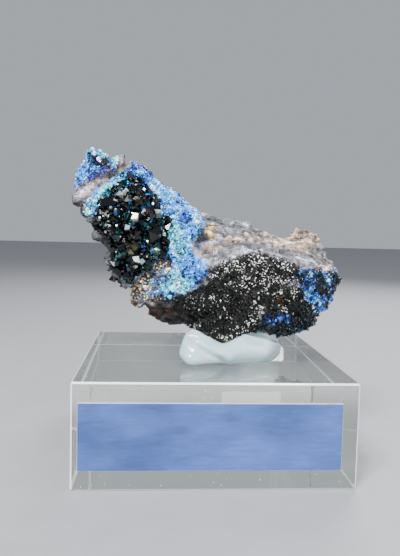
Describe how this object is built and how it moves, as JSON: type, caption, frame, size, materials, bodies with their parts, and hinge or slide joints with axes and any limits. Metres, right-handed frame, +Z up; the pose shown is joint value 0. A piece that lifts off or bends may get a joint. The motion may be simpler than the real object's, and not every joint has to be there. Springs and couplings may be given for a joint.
{
  "type": "lazulite crystal specimen on a display block",
  "caption": "Mineral specimen: rock with dark and blue lazulite crystals, pressed in putty on a clear square display block with a blank label.",
  "frame": {"origin": "middle of the block's flat bottom face", "axes": "+Z up, +X to the right of the labelled front, +Y from the labelled front to the back"},
  "size_m": [0.0532, 0.0505, 0.0598],
  "materials": {
    "clear_acrylic": "clear, polished faces with broken edges",
    "label_tape": "satin film, brushed sideways",
    "putty": "milky, smooth and slightly wet",
    "rock": "broken, matt, lilac grey with tan and rust stains",
    "dark_lazulite": "glossy crystal faces, blue black to deep green",
    "blue_lazulite": "sugary fine crystals, sky blue to deep blue",
    "dark_druse": "sugary fine crystals, olive black with pale grains"
  },
  "bodies": {
    "root": {"display_block": "clear_acrylic", "label": "label_tape", "mounting_putty": "putty", "rock_matrix": "rock", "lazulite_crystals": "dark_lazulite", "blue_druse_tip": "blue_lazulite", "blue_druse_ridge": "blue_lazulite", "blue_druse_right": "blue_lazulite", "blue_druse_under": "blue_lazulite", "dark_druse_face": "dark_druse"}
  },
  "joints": []
}
